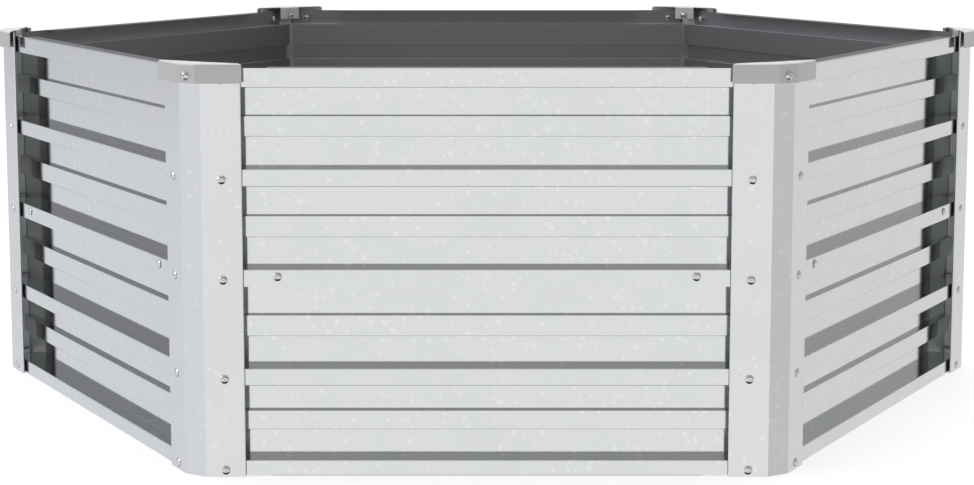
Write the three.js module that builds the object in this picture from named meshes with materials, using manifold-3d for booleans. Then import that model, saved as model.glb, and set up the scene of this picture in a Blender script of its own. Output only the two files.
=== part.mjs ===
// Hexagonal raised garden bed of folded galvanised sheet, in millimetres, +Z up.
// The origin is on the ground, under the middle of the bed. The front side faces -Y.
//
// Six sides stand between six folded corner posts. Each side is two ribbed panels, one above the
// other, that overlap at the middle rib and are bolted together there. Ten bolts hold each post to
// the ribs of its two sides. A folded cap with one long screw closes the top of each post.
// The bed has no floor, so the planting space goes right through.

import * as THREE from 'three';
import { mergeVertices } from 'three/addons/utils/BufferGeometryUtils.js';
import Module from 'manifold-3d';

const wasm = await Module();
wasm.setup();

// ---- Driving dimensions -------------------------------------------------------------------------

const SIDE = 655; // one side of the hexagon, measured over the posts' flanges, corner to corner
const CLEARANCE = 0.3; // left between pieces that touch or pass through each other

// Ribbed panels. The sheet steps between three levels: rib (outermost), step and recess.
const PANEL_SHEET = 0.7;
const RECESS_DEPTH = 19.2; // rib face to recess face
const STEP_PROUD = 6.1; // how far the step band stands out of the recess
const RIB = 19.2; // height of an inner rib
const STEP = 24; // height of the step band between two inner ribs
const RECESS = 33.9; // height of each recess band between two inner ribs
const TOP_RIB = 21.2;
const TOP_BAY = { recessBelow: 34.4, step: 23.1, recessAbove: 31.9 };
const BOTTOM_RIB = 17.5;
const BOTTOM_BAY = { recessBelow: 31.8, step: 21.9, recessAbove: 30.8 };
const PANEL_END_GAP = 1.5; // from the post's bend to the end of the panel
const LIP_DEPTH = 19.9; // the fold along the top and bottom edges, turned into the bed
const LIP_SETBACK = 88; // from the hexagon's corner to the end of the fold

// Corner posts: flange, chamfer, flange, with an open hem along each free edge.
const POST_SHEET = 1;
const POST_CHAMFER = 27.8; // width of the chamfer face
const FLANGE = 44.3; // width of a flange, bend to free edge
const BEND_RADIUS = 2; // outside radius of the post's bends
const HEM = 2.6; // thickness of the hem at its fold
const HEM_RETURN = 9; // how far the hem's inner leg comes back
const STAND_OFF = 2.1; // from the hem's fold to the rib that its inner leg bears on

// Corner caps: a top plate, a skirt in three facets and a tab folded down inside.
const CAP_SHEET = 1;
const CAP_RISE = 5.8; // from the top edge of the panels to the top of the cap
const CAP_PROUD = 6; // how far the skirt stands out from the flange
const CAP_CHAMFER = 25.6; // width of the skirt's middle facet
const CAP_OVERHANG = 1.9; // how far the skirt runs past the flange's free edge
const CAP_SKIRT = 21.8; // height of the skirt
const CAP_EDGE_RADIUS = 2.6; // rounding along the top of the skirt
const TAB_WIDTH = 32;
const TAB_HEIGHT = 18.7;

// Fasteners: pan-head screws with hexagon nuts, all of one thread.
const HEAD_DIAMETER = 10.2;
const HEAD_HEIGHT = 3.1;
const HEAD_RIM = 1; // height of the head's upright rim
const HEAD_FLAT = 5; // diameter of the flat on the head
const SHANK_DIAMETER = 5;
const NUT_WIDTH = 8; // across the flats
const NUT_HEIGHT = 4;
const THREAD_PAST_NUT = 1.2;
const BOLT_DROP = 1.3; // post bolts sit this far below the middle of each rib
const SEAM_BOLT_RISE = 1.8; // seam bolts sit this far above the middle of the seam rib
const SEAM_BOLT_SPREAD = 460; // between the two seam bolts of a side
const CAP_SCREW_DROP = 13.6; // from the top of the cap down to its screw
const ROUND_SIDES = 8; // flats that stand for a round head, shank or hole

// ---- Sizes that follow from them ----------------------------------------------------------------

const TURN = THREE.MathUtils.degToRad(60);
const APOTHEM = SIDE * Math.cos(TURN / 2);
const CORNER_RUN = Math.tan(TURN / 2); // run along a side for each millimetre of depth, at a corner
const BEND_RUN = Math.tan(TURN / 4); // the same at the bend between a flange and a chamfer
const HOLE_DIAMETER = SHANK_DIAMETER + 2 * CLEARANCE;

const RIB_DEPTH = HEM + STAND_OFF; // every depth is measured into the bed from the flange's outside
const RECESS_FACE = RIB_DEPTH + RECESS_DEPTH;
const STEP_FACE = RECESS_FACE - STEP_PROUD;
const LAP = PANEL_SHEET + CLEARANCE; // the lower panel's seam rib tucks this far behind the upper's

const POST_BEND = POST_CHAMFER * CORNER_RUN; // hexagon's corner to the bend, along a side
const FREE_EDGE = POST_BEND + FLANGE;
const BOLT_RUN = POST_BEND + FLANGE / 2; // hexagon's corner to the post's bolts, along a side
const PANEL_END = POST_BEND + PANEL_END_GAP;
const PANEL_LENGTH = SIDE - 2 * PANEL_END;

// Heights of the bands of one side, from the ground up.
const BAND_HEIGHTS = [
  ['rib', BOTTOM_RIB],
  ['recess', BOTTOM_BAY.recessBelow],
  ['step', BOTTOM_BAY.step],
  ['recess', BOTTOM_BAY.recessAbove],
  ['rib', RIB],
  ['recess', RECESS],
  ['step', STEP],
  ['recess', RECESS],
  ['rib', RIB],
  ['recess', RECESS],
  ['step', STEP],
  ['recess', RECESS],
  ['rib', RIB],
  ['recess', TOP_BAY.recessBelow],
  ['step', TOP_BAY.step],
  ['recess', TOP_BAY.recessAbove],
  ['rib', TOP_RIB],
];
const FACE_DEPTH = { rib: RIB_DEPTH, step: STEP_FACE, recess: RECESS_FACE };

const BANDS = [];
let height = 0;
for (const [level, tall] of BAND_HEIGHTS) {
  BANDS.push({ level, face: FACE_DEPTH[level], low: height, high: height + tall });
  height += tall;
}
const RIBS = BANDS.filter((band) => band.level === 'rib');
const SEAM = RIBS[2];
const PANEL_TOP = RIBS[4].high;
const CAP_TOP = PANEL_TOP + CAP_RISE;
const POST_TOP = CAP_TOP - CAP_SHEET - CLEARANCE;
const CAP_SCREW_Z = CAP_TOP - CAP_SCREW_DROP;

const middleOf = (band) => (band.low + band.high) / 2;
const BOLT_HEIGHTS = RIBS.map((rib) => middleOf(rib) - BOLT_DROP);
const SEAM_BOLT_Z = middleOf(SEAM) + SEAM_BOLT_RISE;

// ---- Materials ----------------------------------------------------------------------------------

const galvanised = (name, colour, roughness) =>
  new THREE.MeshStandardMaterial({ name, color: colour, metalness: 1, roughness });

const PANEL_STEEL = galvanised('panel_steel', 0xd6d8da, 0.2);
const POST_STEEL = galvanised('post_steel', 0xd8dadb, 0.25);
const CAP_STEEL = galvanised('cap_steel', 0xc2c4c3, 0.45);
const SCREW_STEEL = galvanised('screw_steel', 0xc8c9cb, 0.15);

// ---- Solids and meshes --------------------------------------------------------------------------

/** Turns a closed geometry into a solid that can be joined and cut. */
function solidOf(geometry) {
  const bare = geometry.index ? geometry.toNonIndexed() : geometry.clone();
  bare.deleteAttribute('normal');
  bare.deleteAttribute('uv');
  const merged = mergeVertices(bare, 1e-4);
  const vertProperties = new Float32Array(merged.attributes.position.array);
  const triVerts = new Uint32Array(merged.index.array);
  return new wasm.Manifold(new wasm.Mesh({ numProp: 3, vertProperties, triVerts }));
}

/** Turns a solid back into a geometry. */
function geometryOf(solid) {
  const { vertProperties, triVerts } = solid.getMesh();
  const geometry = new THREE.BufferGeometry();
  geometry.setAttribute('position', new THREE.BufferAttribute(new Float32Array(vertProperties), 3));
  geometry.setIndex(new THREE.BufferAttribute(new Uint32Array(triVerts), 1));
  geometry.computeVertexNormals();
  return geometry;
}

/** A named mesh for one piece. */
function piece(name, solid, material) {
  const mesh = new THREE.Mesh(geometryOf(solid), material);
  mesh.name = name;
  return mesh;
}

/** A straight prism over an outline of Vector2 points, from z = 0 up. */
function prism(outline, tall) {
  return new THREE.ExtrudeGeometry(new THREE.Shape(outline), { depth: tall, bevelEnabled: false });
}

/** A solid turned about Z from [radius, z] pairs that start and end on the axis, going up. */
function turned(profile, sides) {
  const points = profile.map(([radius, z]) => new THREE.Vector2(radius, z));
  const geometry = new THREE.LatheGeometry(points, sides);
  geometry.rotateX(Math.PI / 2);
  return solidOf(geometry);
}

/** A plain round bar along Z. Its flats touch the stated diameter's circle from inside. */
function bar(diameter, low, high) {
  const radius = diameter / 2;
  return turned([[0, low], [radius, low], [radius, high], [0, high]], ROUND_SIDES);
}

/** Moves a piece made along +Z so that its +Z points along the level direction (x, y). */
function standOn(solid, x, y, z, outX, outY) {
  const outward = new THREE.Vector3(outX, outY, 0).normalize();
  const up = new THREE.Vector3(0, 0, 1);
  const along = new THREE.Vector3().crossVectors(up, outward);
  const matrix = new THREE.Matrix4().makeBasis(along, up, outward).setPosition(x, y, z);
  return solid.transform(matrix.elements);
}

// ---- Fasteners ----------------------------------------------------------------------------------
// Each is made along +Z with the head's underside at z = 0 and its shank below.

/** A pan-head screw whose shank reaches down to z = -reach. */
function screw(reach) {
  const shank = SHANK_DIAMETER / 2;
  const head = HEAD_DIAMETER / 2;
  return turned(
    [
      [0, -reach],
      [shank, -reach],
      [shank, 0],
      [head, 0],
      [head, HEAD_RIM],
      [HEAD_FLAT / 2, HEAD_HEIGHT],
      [0, HEAD_HEIGHT],
    ],
    ROUND_SIDES,
  );
}

/** A hexagon block for a nut, from z = top down. */
function nutBlock(top) {
  const radius = NUT_WIDTH / 2 / Math.cos(Math.PI / 6);
  return turned([[0, top - NUT_HEIGHT], [radius, top - NUT_HEIGHT], [radius, top], [0, top]], 6);
}

/** A loose nut with room for the shank, from z = top down. */
function nut(top) {
  const bore = bar(HOLE_DIAMETER, top - NUT_HEIGHT - 1, top + 1);
  return nutBlock(top).subtract(bore);
}

// ---- Ribbed panels ------------------------------------------------------------------------------
// Made for the front side. Points of a section are (depth, z), and the section runs along X.

/** Lays a section along X, centred on the side, over the given length. */
function alongSide(section, length) {
  const turn = new THREE.Matrix4().makeBasis(
    new THREE.Vector3(0, 1, 0),
    new THREE.Vector3(0, 0, 1),
    new THREE.Vector3(1, 0, 0),
  );
  turn.setPosition(-length / 2, -APOTHEM, 0);
  return solidOf(prism(section, length).applyMatrix4(turn));
}

/** The closed section of the folded sheet through a run of bands, listed from the ground up. */
function foldedSection(bands) {
  const outside = [];
  const inside = [];
  bands.forEach((band, index) => {
    const below = bands[index - 1];
    const above = bands[index + 1];
    const back = band.face + PANEL_SHEET;
    // Where a band stands proud of its neighbour, the sheet between them lies inside the band.
    const lowInset = below && below.face > band.face ? PANEL_SHEET : 0;
    const highInset = above && above.face > band.face ? PANEL_SHEET : 0;
    const lowOutset = below && below.face < band.face ? PANEL_SHEET : 0;
    const highOutset = above && above.face < band.face ? PANEL_SHEET : 0;
    outside.push(new THREE.Vector2(band.face, band.low), new THREE.Vector2(band.face, band.high));
    inside.push(
      new THREE.Vector2(back, band.low + lowInset - lowOutset),
      new THREE.Vector2(back, band.high - highInset + highOutset),
    );
  });
  return [...outside, ...inside.reverse()];
}

/** The fold along a top or bottom edge, turned into the bed and cut back clear of the caps. */
function lip(low) {
  const length = SIDE - 2 * LIP_SETBACK;
  const start = RIB_DEPTH;
  const section = [
    new THREE.Vector2(start, low),
    new THREE.Vector2(start + LIP_DEPTH, low),
    new THREE.Vector2(start + LIP_DEPTH, low + PANEL_SHEET),
    new THREE.Vector2(start, low + PANEL_SHEET),
  ];
  return alongSide(section, length);
}

/** Cuts one bolt hole through a rib, at x along the side. */
function ribHole(x, z) {
  const hole = bar(HOLE_DIAMETER, -2 * LAP - PANEL_SHEET, 1);
  return standOn(hole, x, -APOTHEM + RIB_DEPTH, z, 0, -1);
}

/** Cuts the holes for the post's bolts and for the seam bolts. */
function drill(panel, boltHeights) {
  const boltX = SIDE / 2 - BOLT_RUN;
  let drilled = panel;
  for (const side of [-1, 1]) {
    for (const z of boltHeights) drilled = drilled.subtract(ribHole(side * boltX, z));
    drilled = drilled.subtract(ribHole(side * SEAM_BOLT_SPREAD / 2, SEAM_BOLT_Z));
  }
  return drilled;
}

/** The upper panel: its lowest rib laps outside the seam. */
function upperPanel() {
  const bands = BANDS.filter((band) => band.low >= SEAM.low);
  const sheet = alongSide(foldedSection(bands), PANEL_LENGTH);
  const folded = sheet.add(lip(PANEL_TOP - PANEL_SHEET));
  return drill(folded, BOLT_HEIGHTS.slice(2));
}

/** The lower panel: its top rib is tucked behind the upper panel's, under that panel's ledge. */
function lowerPanel() {
  const tucked = { ...SEAM, face: SEAM.face + LAP, high: SEAM.high - LAP };
  const bands = BANDS.filter((band) => band.high <= SEAM.low);
  const sheet = alongSide(foldedSection([...bands, tucked]), PANEL_LENGTH);
  const folded = sheet.add(lip(0));
  return drill(folded, BOLT_HEIGHTS.slice(0, 3));
}

/** A seam bolt and its nut at x along the front side. */
function seamFasteners(x) {
  const gripped = 2 * PANEL_SHEET + 3 * CLEARANCE;
  const bolt = screw(gripped + NUT_HEIGHT + THREAD_PAST_NUT + CLEARANCE);
  const y = -APOTHEM + RIB_DEPTH - CLEARANCE;
  return {
    bolt: standOn(bolt, x, y, SEAM_BOLT_Z, 0, -1),
    nut: standOn(nut(-gripped - CLEARANCE), x, y, SEAM_BOLT_Z, 0, -1),
  };
}

// ---- Corner posts -------------------------------------------------------------------------------
// Made for a corner that points to -Y. A place is given by its run along a side from the hexagon's
// corner, its depth behind the flange's outside, and which of the two sides it is on (1 or -1).

function cornerPoint(run, depth, hand) {
  const across = run * Math.sin(TURN) - depth * Math.cos(TURN);
  const out = SIDE - run * Math.cos(TURN) - depth * Math.sin(TURN);
  return new THREE.Vector2(hand * across, -out);
}

/** The level direction that a flange faces. */
function flangeFacing(hand) {
  return new THREE.Vector2(hand * Math.sin(TURN / 2), -Math.cos(TURN / 2));
}

/** A run of [run, depth] points round an arc; angle 0 points along the flange's run. */
function arcPoints(run, depth, radius, from, to, steps) {
  const points = [];
  for (let step = 0; step <= steps; step++) {
    const angle = from + ((to - from) * step) / steps;
    points.push([run + radius * Math.cos(angle), depth + radius * Math.sin(angle)]);
  }
  return points;
}

/** One flange of the post, as [run, depth] points from its outer bend round to its inner bend. */
function flangeOutline() {
  const hemRadius = HEM / 2;
  const hemRun = FREE_EDGE - hemRadius;
  const tipRun = hemRun - HEM_RETURN;
  const tipDepth = RIB_DEPTH - CLEARANCE;
  const bendRun = POST_BEND + BEND_RADIUS * BEND_RUN;
  const innerRadius = BEND_RADIUS - POST_SHEET;
  const square = -Math.PI / 2;
  return [
    ...arcPoints(bendRun, BEND_RADIUS, BEND_RADIUS, square - TURN / 2, square, 3),
    ...arcPoints(hemRun, hemRadius, hemRadius, square, -square, 6),
    [tipRun, tipDepth],
    [tipRun, tipDepth - POST_SHEET],
    ...arcPoints(hemRun, hemRadius, hemRadius - POST_SHEET, -square, square, 4),
    ...arcPoints(bendRun, BEND_RADIUS, innerRadius, square, square - TURN / 2, 2),
  ];
}

/** The folded strip of the post, without its bolts. */
function postSheet() {
  const half = flangeOutline();
  const right = half.map(([run, depth]) => cornerPoint(run, depth, 1));
  const left = half.map(([run, depth]) => cornerPoint(run, depth, -1)).reverse();
  return solidOf(prism([...right, ...left], POST_TOP));
}

/** A post bolt with its nut, seated on the flange and reaching through the rib behind it. */
function postBolt(seamLayers) {
  const ribBack = RIB_DEPTH + PANEL_SHEET + (seamLayers - 1) * LAP;
  const nutTop = -ribBack - CLEARANCE;
  return screw(-nutTop + NUT_HEIGHT / 2).add(nutBlock(nutTop));
}

/** A corner post with the ten bolts that hold its two sides. */
function cornerPost() {
  let post = postSheet();
  for (const hand of [1, -1]) {
    const seat = cornerPoint(BOLT_RUN, 0, hand);
    const facing = flangeFacing(hand);
    BOLT_HEIGHTS.forEach((z, index) => {
      const layers = RIBS[index] === SEAM ? 2 : 1;
      post = post.add(standOn(postBolt(layers), seat.x, seat.y, z, facing.x, facing.y));
    });
  }
  return post.subtract(capScrewHole());
}

// ---- Corner caps --------------------------------------------------------------------------------

const CAP_REACH = FREE_EDGE + CAP_OVERHANG; // hexagon's corner to the skirt's free end, along a side
const CAP_CORNER = -CAP_PROUD * CORNER_RUN; // where the two long facets would meet
const CAP_BEND = CAP_CORNER + CAP_CHAMFER * CORNER_RUN;
const CAP_MIDDLE_OUT = -cornerPoint(CAP_BEND, -CAP_PROUD, 1).y; // bed's centre to the middle facet
const CAP_INNER_OUT = -cornerPoint(CAP_REACH, -CAP_PROUD, 1).y; // bed's centre to the inner edge

/** The cap's plan, drawn in from the skirt's face by an inset on its three facets. */
function capPlan(inset, innerMargin) {
  const depth = inset - CAP_PROUD;
  const bend = cornerPoint(CAP_BEND + inset * BEND_RUN, depth, 1);
  const end = cornerPoint(CAP_REACH, depth, 1);
  const inner = -CAP_INNER_OUT + innerMargin;
  const endX = end.x + ((inner - end.y) * Math.sin(TURN)) / Math.cos(TURN);
  return [
    new THREE.Vector2(bend.x, bend.y),
    new THREE.Vector2(endX, inner),
    new THREE.Vector2(-endX, inner),
    new THREE.Vector2(-bend.x, bend.y),
  ];
}

/** A closed solid through outlines of equal count, each at its own height, from the lowest up. */
function stacked(layers) {
  const count = layers[0].outline.length;
  const position = layers.flatMap(({ outline, z }) => outline.flatMap((point) => [point.x, point.y, z]));
  const index = [];
  for (let layer = 0; layer + 1 < layers.length; layer++) {
    for (let corner = 0; corner < count; corner++) {
      const next = (corner + 1) % count;
      const [a, b] = [layer * count + corner, layer * count + next];
      index.push(a, b, b + count, a, b + count, a + count);
    }
  }
  const top = (layers.length - 1) * count;
  for (const [a, b, c] of THREE.ShapeUtils.triangulateShape(layers[0].outline, [])) {
    index.push(c, b, a, top + a, top + b, top + c);
  }
  const geometry = new THREE.BufferGeometry();
  geometry.setAttribute('position', new THREE.Float32BufferAttribute(position, 3));
  geometry.setIndex(index);
  return solidOf(geometry);
}

/** The cap as a solid block with a rounded top edge, or the hollow under its sheet. */
function capBlock(sheet, low, high, radius, innerMargin) {
  const layers = [{ outline: capPlan(sheet, innerMargin), z: low }];
  const steps = 3;
  for (let step = 0; step <= steps; step++) {
    const angle = (step / steps) * (Math.PI / 2);
    const inset = sheet + radius * (1 - Math.cos(angle));
    const z = high - radius * (1 - Math.sin(angle));
    layers.push({ outline: capPlan(inset, innerMargin), z });
  }
  return stacked(layers);
}

/** The hole that the cap screw passes through, in the cap and in the post. */
function capScrewHole() {
  const hole = bar(HOLE_DIAMETER, CAP_INNER_OUT - 2 * CAP_SHEET, CAP_MIDDLE_OUT + CAP_SHEET);
  return standOn(hole, 0, 0, CAP_SCREW_Z, 0, -1);
}

/** A corner cap, open underneath and towards the bed, with its tab. */
function cornerCap() {
  const low = CAP_TOP - CAP_SKIRT;
  const block = capBlock(0, low, CAP_TOP, CAP_EDGE_RADIUS, 0);
  const hollow = capBlock(
    CAP_SHEET,
    low - 1,
    CAP_TOP - CAP_SHEET,
    CAP_EDGE_RADIUS - CAP_SHEET,
    FLANGE,
  );
  const tabOutline = [
    new THREE.Vector2(-TAB_WIDTH / 2, -CAP_INNER_OUT - CAP_SHEET),
    new THREE.Vector2(TAB_WIDTH / 2, -CAP_INNER_OUT - CAP_SHEET),
    new THREE.Vector2(TAB_WIDTH / 2, -CAP_INNER_OUT),
    new THREE.Vector2(-TAB_WIDTH / 2, -CAP_INNER_OUT),
  ];
  const tab = solidOf(prism(tabOutline, TAB_HEIGHT)).translate([0, 0, CAP_TOP - TAB_HEIGHT]);
  return block.subtract(hollow).add(tab).subtract(capScrewHole());
}

/** The long screw through the cap's middle facet, the post and the tab, and its nut. */
function capFasteners() {
  const seat = CAP_MIDDLE_OUT + CLEARANCE;
  const tabBack = CAP_INNER_OUT - CLEARANCE;
  const reach = seat - tabBack + NUT_HEIGHT + THREAD_PAST_NUT;
  return {
    screw: standOn(screw(reach), 0, -seat, CAP_SCREW_Z, 0, -1),
    nut: standOn(nut(0), 0, -tabBack, CAP_SCREW_Z, 0, -1),
  };
}

// ---- Assembly -----------------------------------------------------------------------------------

const SIDE_NAMES = ['front', 'front_right', 'back_right', 'back', 'back_left', 'front_left'];
const CORNER_NAMES = ['front_right', 'right', 'back_right', 'back_left', 'left', 'front_left'];

const bed = new THREE.Group();
bed.name = 'raised_garden_bed';

const panels = { upper: upperPanel(), lower: lowerPanel() };
const seamPairs = {
  left: seamFasteners(-SEAM_BOLT_SPREAD / 2),
  right: seamFasteners(SEAM_BOLT_SPREAD / 2),
};
SIDE_NAMES.forEach((name, index) => {
  const side = new THREE.Group();
  side.rotation.z = index * TURN;
  side.add(piece(`upper_panel_${name}`, panels.upper, PANEL_STEEL));
  side.add(piece(`lower_panel_${name}`, panels.lower, PANEL_STEEL));
  for (const [hand, pair] of Object.entries(seamPairs)) {
    side.add(piece(`${hand}_seam_bolt_${name}`, pair.bolt, SCREW_STEEL));
    side.add(piece(`${hand}_seam_nut_${name}`, pair.nut, SCREW_STEEL));
  }
  bed.add(side);
});

const post = cornerPost();
const cap = cornerCap();
const capPair = capFasteners();
CORNER_NAMES.forEach((name, index) => {
  const corner = new THREE.Group();
  corner.rotation.z = (index + 0.5) * TURN;
  corner.add(piece(`corner_post_${name}`, post, POST_STEEL));
  corner.add(piece(`corner_cap_${name}`, cap, CAP_STEEL));
  corner.add(piece(`cap_screw_${name}`, capPair.screw, SCREW_STEEL));
  corner.add(piece(`cap_nut_${name}`, capPair.nut, SCREW_STEEL));
  bed.add(corner);
});

export default bed;
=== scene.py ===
"""Looks of the hexagonal raised garden bed: folded sheets, caps, screws, finishes and studio.

Lengths are in millimetres, as in the CAD model, and become metres where a mesh is made. A side is
built in the place of the front side and a corner at the corner that points to -Y, and each copy is
turned about the bed's middle. Depths are measured into the bed from the outside of the flanges.
"""

import sys
import bpy
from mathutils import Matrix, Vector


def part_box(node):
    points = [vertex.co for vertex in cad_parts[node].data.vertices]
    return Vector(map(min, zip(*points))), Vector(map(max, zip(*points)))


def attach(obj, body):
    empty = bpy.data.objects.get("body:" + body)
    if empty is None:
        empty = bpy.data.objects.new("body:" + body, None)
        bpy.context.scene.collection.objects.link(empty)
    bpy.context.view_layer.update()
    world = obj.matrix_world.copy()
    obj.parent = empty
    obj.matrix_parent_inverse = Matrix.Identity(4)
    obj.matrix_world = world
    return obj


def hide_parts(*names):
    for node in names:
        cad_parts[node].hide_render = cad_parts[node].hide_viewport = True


bpy.ops.wm.read_factory_settings(use_empty=True)
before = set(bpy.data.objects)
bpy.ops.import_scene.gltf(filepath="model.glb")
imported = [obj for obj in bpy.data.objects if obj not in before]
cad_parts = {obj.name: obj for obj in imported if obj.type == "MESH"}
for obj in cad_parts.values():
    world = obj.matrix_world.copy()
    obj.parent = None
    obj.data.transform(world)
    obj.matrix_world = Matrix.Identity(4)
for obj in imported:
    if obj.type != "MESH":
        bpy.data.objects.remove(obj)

import logging
import math
from dataclasses import dataclass
from enum import Enum
from typing import Any, Iterable, Mapping, Sequence, Union

import bmesh
from mathutils import Matrix, Vector

LOG = logging.getLogger("raised_bed")
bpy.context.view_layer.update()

MM = 0.001
BODY = "root"
TURN = math.radians(60)
HALF_STEP = 0.5  # of a step, such as from a side to the corner after it
QUARTER = math.pi / 2
CORNER_RUN = math.tan(TURN / 2)  # run along a side for each millimetre of depth, at a corner
BEND_RUN = math.tan(TURN / 4)  # the same at the bend between a flange and a chamfer

SIDES = ("front", "front_right", "back_right", "back", "back_left", "front_left")
CORNERS = ("front_right", "right", "back_right", "back_left", "left", "front_left")

BEND_RADIUS = "bend_radius"  # attribute of a fold's path: radius of the bend at each point
LIPPED = "lipped"  # attribute of a fold's path: 1 on the stretch that keeps its end folds
FACING = "facing"  # attribute of a fastener's place: the way its head points
PAINTED_LIGHT_AND_SHADE = "other_tone"  # attribute of a piece's faces: 1 where its finish has its other tone, painted shade inside panels and posts, painted light on cap tops
IS_SET = 0.5  # an attribute of 0 or 1 is set where it is above this

Point = tuple[float, float]
Place = tuple[float, float, float]
Way = tuple[float, float, float]
Colour = tuple[float, float, float]

OUTWARDS: Way = (0.0, -1.0, 0.0)  # the way that the front side faces
INWARDS: Way = (0.0, 1.0, 0.0)
SIDEWAYS: Way = (1.0, 0.0, 0.0)
UPWARDS: Way = (0.0, 0.0, 1.0)
WHITE: Colour = (1.0, 1.0, 1.0)


class Slot(Enum):
    """Material slots of the bed, one for each finish."""

    PANEL = "panel_steel"
    POST = "post_steel"
    CAP = "cap_steel"
    SCREW = "screw_steel"


class Level(Enum):
    """The three levels that a panel's sheet steps between, from the outside in."""

    RIB = "rib"
    STEP = "step"
    RECESS = "recess"


class Hand(Enum):
    """The two sides of a corner or of the front side."""

    LEFT = -1
    RIGHT = 1


# ---- Node trees ----------------------------------------------------------------------------------


class Wire:
    """An output socket of a node tree, on which Python's operators add Math nodes."""

    def __init__(self, graph: "Graph", node: bpy.types.Node, output: Union[str, int] = 0) -> None:
        """Keeps what it needs to find the socket again.

        Args:
            graph: The tree.
            node: The node that the socket is on.
            output: The output's name or number.
        """
        self.graph = graph
        self.node = node
        self.output = output

    @property
    def socket(self) -> bpy.types.NodeSocket:
        """The output socket itself."""
        return self.node.outputs[self.output]

    def out(self, output: Union[str, int]) -> "Wire":
        """Gives another output of the same node."""
        return Wire(self.graph, self.node, output)

    def __add__(self, other: "Value") -> "Wire":
        """Adds a number or wire."""
        return self.graph.math("ADD", self, other)

    __radd__ = __add__

    def __sub__(self, other: "Value") -> "Wire":
        """Takes a number or wire away."""
        return self.graph.math("SUBTRACT", self, other)

    def __rsub__(self, other: "Value") -> "Wire":
        """Takes this wire away from a number."""
        return self.graph.math("SUBTRACT", other, self)

    def __mul__(self, other: "Value") -> "Wire":
        """Multiplies by a number or wire."""
        return self.graph.math("MULTIPLY", self, other)

    __rmul__ = __mul__

    def above(self, limit: "Value") -> "Wire":
        """Gives 1 where this wire is over a limit, and 0 elsewhere."""
        return self.graph.math("GREATER_THAN", self, limit)

    def between(self, low: float, high: float) -> "Wire":
        """Rises smoothly from 0 to 1, or falls where the first limit is the larger.

        Args:
            low: Where it is 0.
            high: Where it is 1.

        Returns:
            The wire of the share between the limits.
        """
        settings = {"interpolation_type": "SMOOTHSTEP", "clamp": True}
        limits = {"Value": self, "From Min": low, "From Max": high}
        return self.graph.add("ShaderNodeMapRange", settings, limits)


Value = Union[Wire, Sequence[Wire], float, int, bool, str, tuple]

MIXED_COLOUR = 2  # number of a Mix node's output for a colour
RANDOM_NUMBER = 1  # number of a Random Value node's output for a number


def opaque(colour: Colour) -> tuple[float, float, float, float]:
    """Gives a colour the full alpha that colour sockets want."""
    return *colour, 1.0


class Graph:
    """A node tree under construction."""

    def __init__(self, tree: bpy.types.NodeTree) -> None:
        """Keeps the tree."""
        self.tree = tree

    def add(
        self,
        kind: str,
        settings: Mapping[str, Any] | None = None,
        inputs: Mapping[Union[str, int], Value] | None = None,
        output: Union[str, int] = 0,
    ) -> Wire:
        """Adds a node of any kind.

        Args:
            kind: The node's type.
            settings: Its settings, which are made before its sockets are filled.
            inputs: Values or wires by a socket's identifier, name or number.
            output: The output that is wanted, by name or number.

        Returns:
            The wire of that output.
        """
        node = self.tree.nodes.new(kind)
        for name, value in (settings or {}).items():
            setattr(node, name, value)
        for key, value in (inputs or {}).items():
            self._fill(node, key, value)
        return Wire(self, node, output)

    def _fill(self, node: bpy.types.Node, key: Union[str, int], value: Value) -> None:
        """Links wires to a socket, or sets the value of its own.

        Args:
            node: The node that the socket is on.
            key: The socket's identifier, name or number.
            value: A wire, several wires, or a plain value.
        """
        named = {socket.identifier: socket for socket in node.inputs}
        socket = named[key] if key in named else node.inputs[key]
        wires = value if isinstance(value, list) else [value]
        if isinstance(wires[0], Wire):
            for wire in wires:
                self.tree.links.new(wire.socket, socket)
        else:
            socket.default_value = value

    def math(self, operation: str, *values: Value) -> Wire:
        """Adds a Math node for an operation on numbers or wires."""
        return self.add("ShaderNodeMath", {"operation": operation}, dict(enumerate(values)))

    def vector(self, operation: str, *values: Value) -> Wire:
        """Adds a Vector Math node for an operation on vectors or wires."""
        return self.add("ShaderNodeVectorMath", {"operation": operation}, dict(enumerate(values)))

    def scaled(self, vector: Value, factor: Value) -> Wire:
        """Multiplies a vector by a number."""
        inputs = {"Vector": vector, "Scale": factor}
        return self.add("ShaderNodeVectorMath", {"operation": "SCALE"}, inputs)

    def blend(self, first: Value, second: Value, factor: Value) -> Wire:
        """Mixes two colours.

        Args:
            first: The colour at factor 0.
            second: The colour at factor 1.
            factor: How much of the second colour there is.

        Returns:
            The mixed colour.
        """
        inputs = {"Factor_Float": factor, "A_Color": first, "B_Color": second}
        return self.add("ShaderNodeMix", {"data_type": "RGBA"}, inputs, MIXED_COLOUR)


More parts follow.
